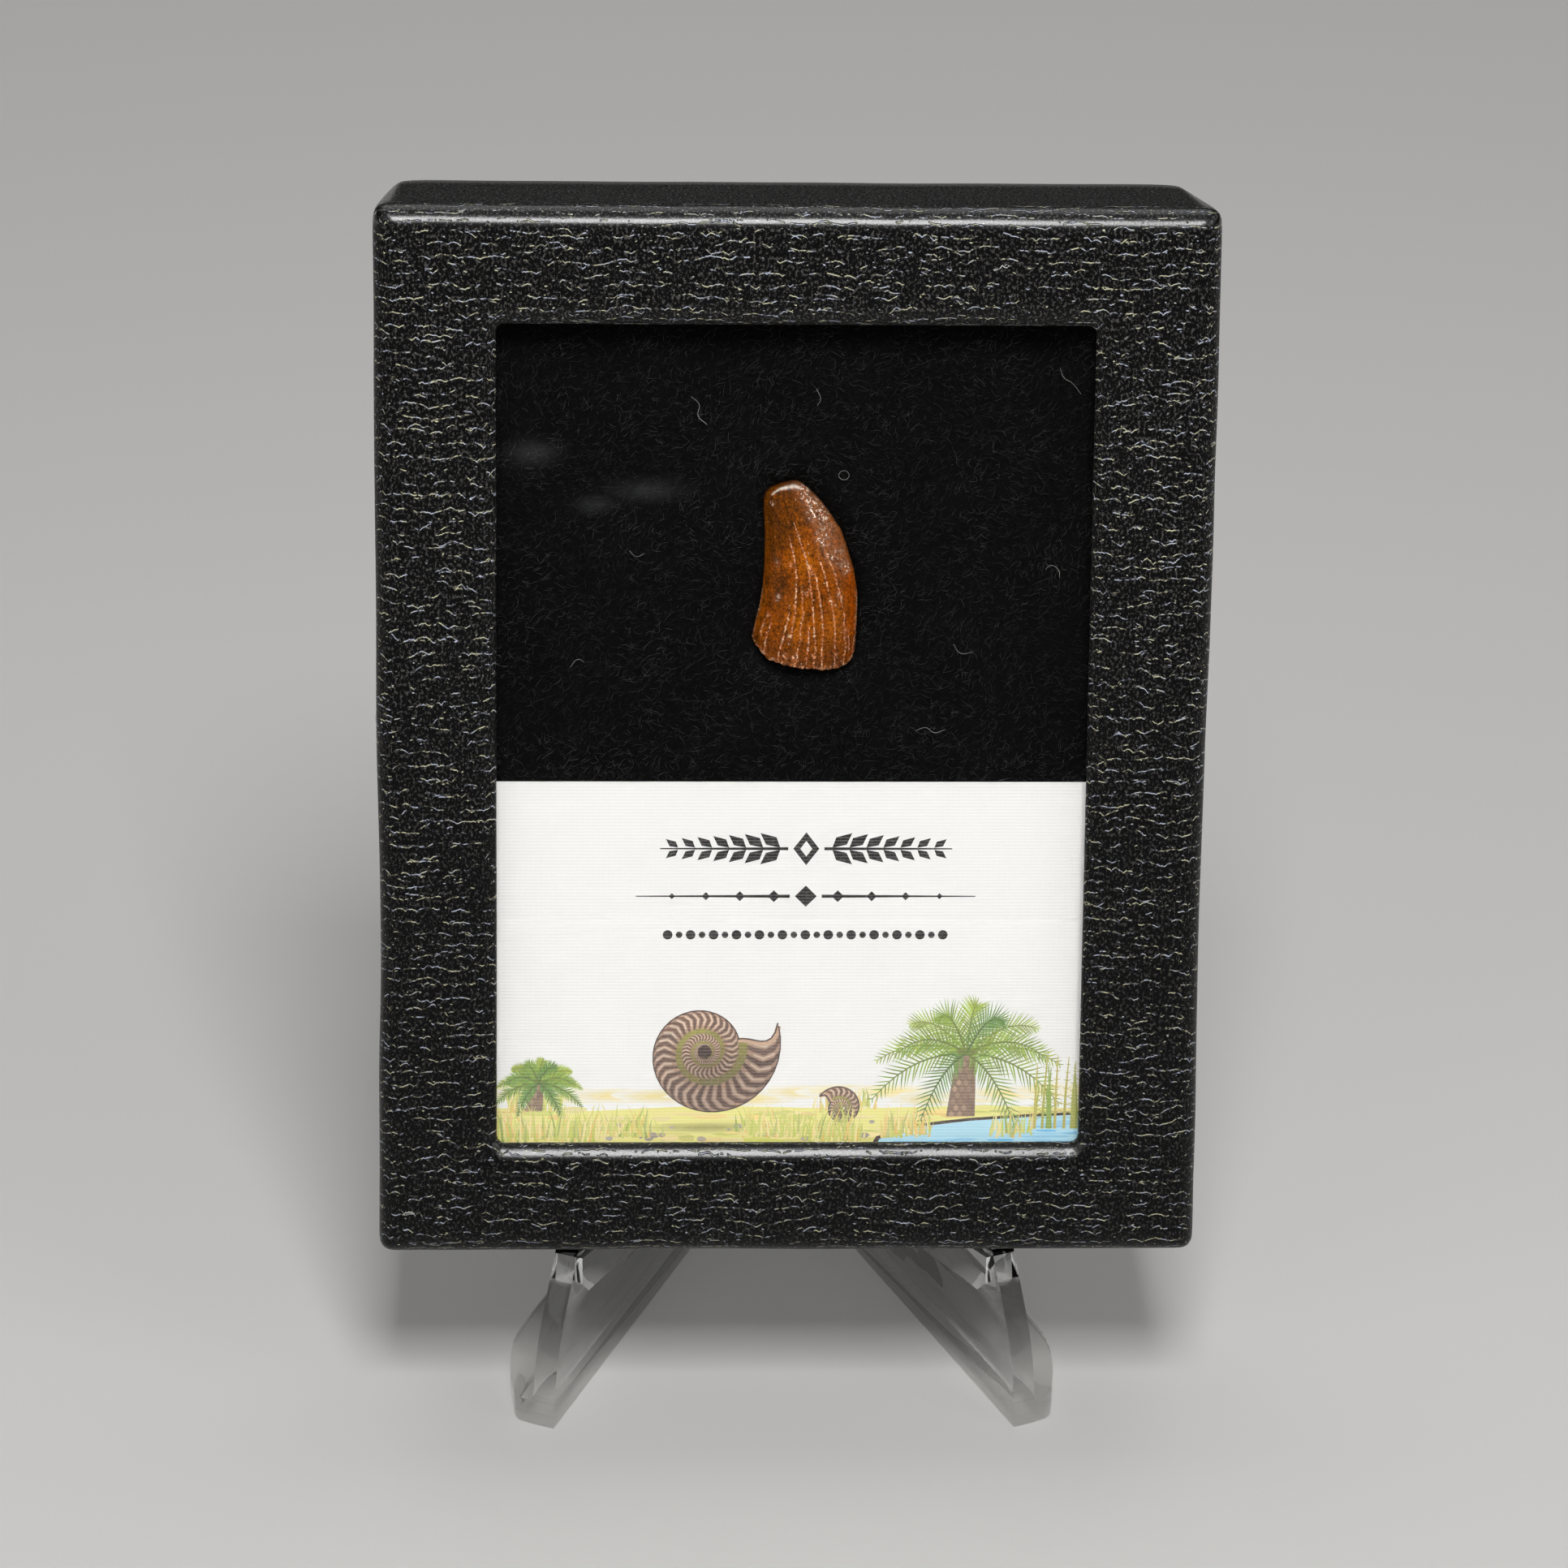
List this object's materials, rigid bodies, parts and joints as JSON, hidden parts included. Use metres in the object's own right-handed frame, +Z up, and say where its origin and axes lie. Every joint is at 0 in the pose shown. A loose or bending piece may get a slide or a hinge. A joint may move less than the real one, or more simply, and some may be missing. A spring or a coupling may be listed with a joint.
{
  "type": "fossil tooth in display case",
  "caption": "Worn fossil dinosaur tooth on a black fibre pad behind glass, in a leatherette-covered window case with a label card, leaning on a clear plastic V-shaped easel.",
  "frame": {"origin": "on the surface the easel stands on, at the centre of the display's footprint box", "axes": "+Z up, -Y out of the case's window towards the viewer, +X to the viewer's right"},
  "size_m": [0.0842, 0.0582, 0.1226],
  "materials": {
    "fossil_enamel": "glossy mineralised enamel",
    "leatherette": "satin crinkled grain",
    "pane": "polished, faintly smudged",
    "tray_board": "matte black paper",
    "felt": "matte fibre",
    "linen_card": "ribbed linen, printed",
    "steel": "polished",
    "clear_plastic": "clear, glossy"
  },
  "bodies": {
    "root": {"tooth": "fossil_enamel", "case_lid": "leatherette", "glass_pane": "pane", "case_tray": "tray_board", "fibre_pad": "felt", "label_card": "linen_card", "pin_left": "steel", "pin_right": "steel", "easel": "clear_plastic"}
  },
  "joints": []
}
